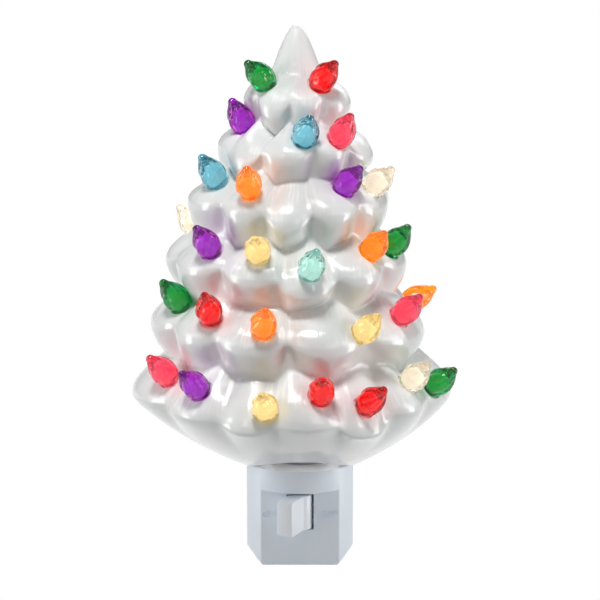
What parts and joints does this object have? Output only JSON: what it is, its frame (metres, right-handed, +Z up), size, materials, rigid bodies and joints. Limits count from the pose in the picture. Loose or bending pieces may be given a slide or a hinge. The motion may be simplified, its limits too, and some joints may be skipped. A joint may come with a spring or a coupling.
{
  "type": "tree night light",
  "caption": "Plug-in night light: a glazed ceramic tree with pegged colour bulbs lifts off a plastic lamp base with a lever switch and two plug blades.",
  "frame": {"origin": "on the wall face of the plug-in base, midway between the two plug blades", "axes": "+X to the right seen from the room, +Y into the wall along the plug blades, +Z up along the tree"},
  "size_m": [0.0991, 0.0879, 0.1662],
  "materials": {
    "glaze": "gloss",
    "housing_plastic": "satin",
    "switch_plastic": "satin",
    "blade_brass": "satin",
    "contact_brass": "satin",
    "screw_steel": "satin",
    "spring_steel": "satin",
    "cap_nickel": "polished",
    "lamp_glass": "gloss",
    "insulator_glass": "gloss",
    "tungsten": "satin",
    "bulb_green": "gloss",
    "bulb_red": "gloss",
    "bulb_purple": "gloss",
    "bulb_blue": "gloss",
    "bulb_pink": "gloss",
    "bulb_orange": "gloss",
    "bulb_yellow": "gloss",
    "bulb_mint": "gloss",
    "bulb_clear": "gloss"
  },
  "bodies": {
    "base": {"front_housing": "housing_plastic", "rear_housing": "housing_plastic", "housing_screw_left": "screw_steel", "housing_screw_right": "screw_steel", "neutral_blade": "blade_brass", "line_blade": "blade_brass", "switch_contact": "contact_brass", "lampholder_sleeve": "housing_plastic", "socket_shell": "contact_brass", "centre_contact": "contact_brass", "spring_clip": "spring_steel"},
    "switch": {"switch_rocker": "switch_plastic"},
    "tree": {"ceramic_tree": "glaze", "bulb_01_green": "bulb_green", "bulb_02_red": "bulb_red", "bulb_03_purple": "bulb_purple", "bulb_04_blue": "bulb_blue", "bulb_05_pink": "bulb_pink", "bulb_06_blue": "bulb_blue", "bulb_07_orange": "bulb_orange", "bulb_08_purple": "bulb_purple", "bulb_09_clear": "bulb_clear", "bulb_10_clear": "bulb_clear", "bulb_11_purple": "bulb_purple", "bulb_12_yellow": "bulb_yellow", "bulb_13_mint": "bulb_mint", "bulb_14_orange": "bulb_orange", "bulb_15_green": "bulb_green", "bulb_16_green": "bulb_green", "bulb_17_red": "bulb_red", "bulb_18_orange": "bulb_orange", "bulb_19_yellow": "bulb_yellow", "bulb_20_orange": "bulb_orange", "bulb_21_pink": "bulb_pink", "bulb_22_pink": "bulb_pink", "bulb_23_purple": "bulb_purple", "bulb_24_yellow": "bulb_yellow", "bulb_25_red": "bulb_red", "bulb_26_red": "bulb_red", "bulb_27_clear": "bulb_clear", "bulb_28_green": "bulb_green"},
    "lamp": {"lamp_glass": "lamp_glass", "lamp_cap": "cap_nickel", "lamp_insulator": "insulator_glass", "lamp_tip_contact": "cap_nickel", "lamp_stem": "lamp_glass", "lamp_lead_left": "screw_steel", "lamp_lead_right": "screw_steel", "lamp_filament": "tungsten"}
  },
  "joints": [
    {"name": "switch_turn", "type": "hinge", "parent": "base", "child": "switch", "pos_m": [0, -0.02819, 0.00205], "axis": [0, 0, 1], "range_deg": [0, 48]},
    {"name": "tree_lift", "type": "slide", "parent": "base", "child": "tree", "axis": [0, 0, 1], "range_m": [0, 0.06]},
    {"name": "lamp_turn", "type": "hinge", "parent": "base", "child": "lamp", "pos_m": [0, -0.018, 0.025], "axis": [0, 0, 1], "range_deg": [0, 1620]}
  ]
}
